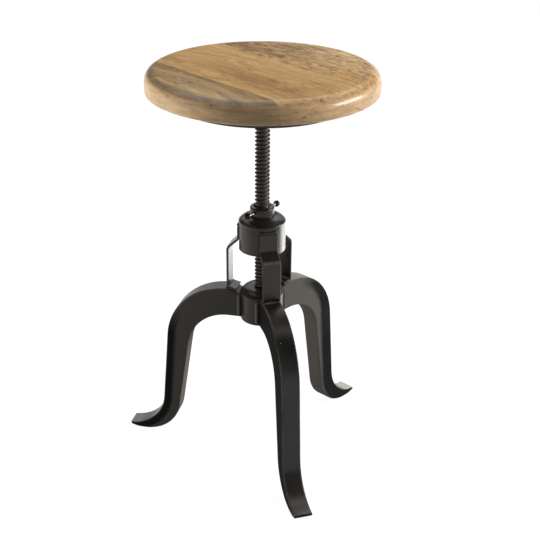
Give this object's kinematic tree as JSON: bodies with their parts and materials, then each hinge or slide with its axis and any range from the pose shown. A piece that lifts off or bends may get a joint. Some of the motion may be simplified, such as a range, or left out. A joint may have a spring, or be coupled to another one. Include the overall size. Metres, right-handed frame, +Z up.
{
  "type": "adjustable screw stool",
  "caption": "Round wooden seat on a threaded steel screw that winds up and down through a hub on a black iron base with curved legs and turned-up toes.",
  "frame": {"origin": "on the screw's axis at floor level, in the plane of the three soles", "axes": "+Z up along the screw, -Y along the front leg, +X to the right seen from the front"},
  "size_m": [0.3922, 0.384, 0.616],
  "materials": {
    "black_cast_iron": "satin black paint on a forged or cast surface",
    "black_painted_steel": "satin black paint on flat bar and turned steel",
    "black_screw": "blackened steel thread, slightly worn on the crests",
    "steel_fastener": "bright plated steel",
    "seat_wood": "oiled and lacquered hardwood"
  },
  "bodies": {
    "base": {"upper_hub": "black_cast_iron", "thread_bush": "black_painted_steel", "lower_hub": "black_cast_iron", "leg_front": "black_cast_iron", "leg_left": "black_cast_iron", "leg_right": "black_cast_iron", "strap_front": "black_painted_steel", "strap_left": "black_painted_steel", "strap_right": "black_painted_steel", "leg_root_welds": "black_painted_steel", "strap_head_welds": "black_painted_steel", "strap_foot_welds": "black_painted_steel"},
    "lift": {"stop_washer": "steel_fastener"},
    "seat": {"lifting_screw": "black_screw", "end_bolt": "steel_fastener", "seat_boss": "black_painted_steel", "boss_pin": "steel_fastener", "seat_hoop": "black_painted_steel", "cross_bar": "black_painted_steel", "side_bar_front": "black_painted_steel", "side_bar_rear": "black_painted_steel", "seat_frame_welds": "black_painted_steel", "wood_screws": "steel_fastener", "board_front": "seat_wood", "board_centre": "seat_wood", "board_rear": "seat_wood"},
    "lock_front": {"lock_screw_front": "steel_fastener"},
    "lock_rear": {"lock_screw_rear": "steel_fastener"}
  },
  "joints": [
    {"name": "seat_lift", "type": "slide", "parent": "base", "child": "lift", "axis": [0, 0, 1], "range_m": [-0.1441, 0]},
    {"name": "seat_turn", "type": "hinge", "parent": "lift", "child": "seat", "pos_m": [0, 0, 0.37], "axis": [0, 0, 1], "range_deg": [-8640, 0]},
    {"name": "lock_front_slide", "type": "slide", "parent": "base", "child": "lock_front", "axis": [-0.8387, -0.5446, 0], "range_m": [0, 0.004]},
    {"name": "lock_rear_slide", "type": "slide", "parent": "base", "child": "lock_rear", "axis": [0.8387, 0.5446, 0], "range_m": [0, 0.004]}
  ],
  "couplings": [
    {"joint": "seat_lift", "follows": "seat_turn", "m_per_rad": 0.00095493}
  ]
}
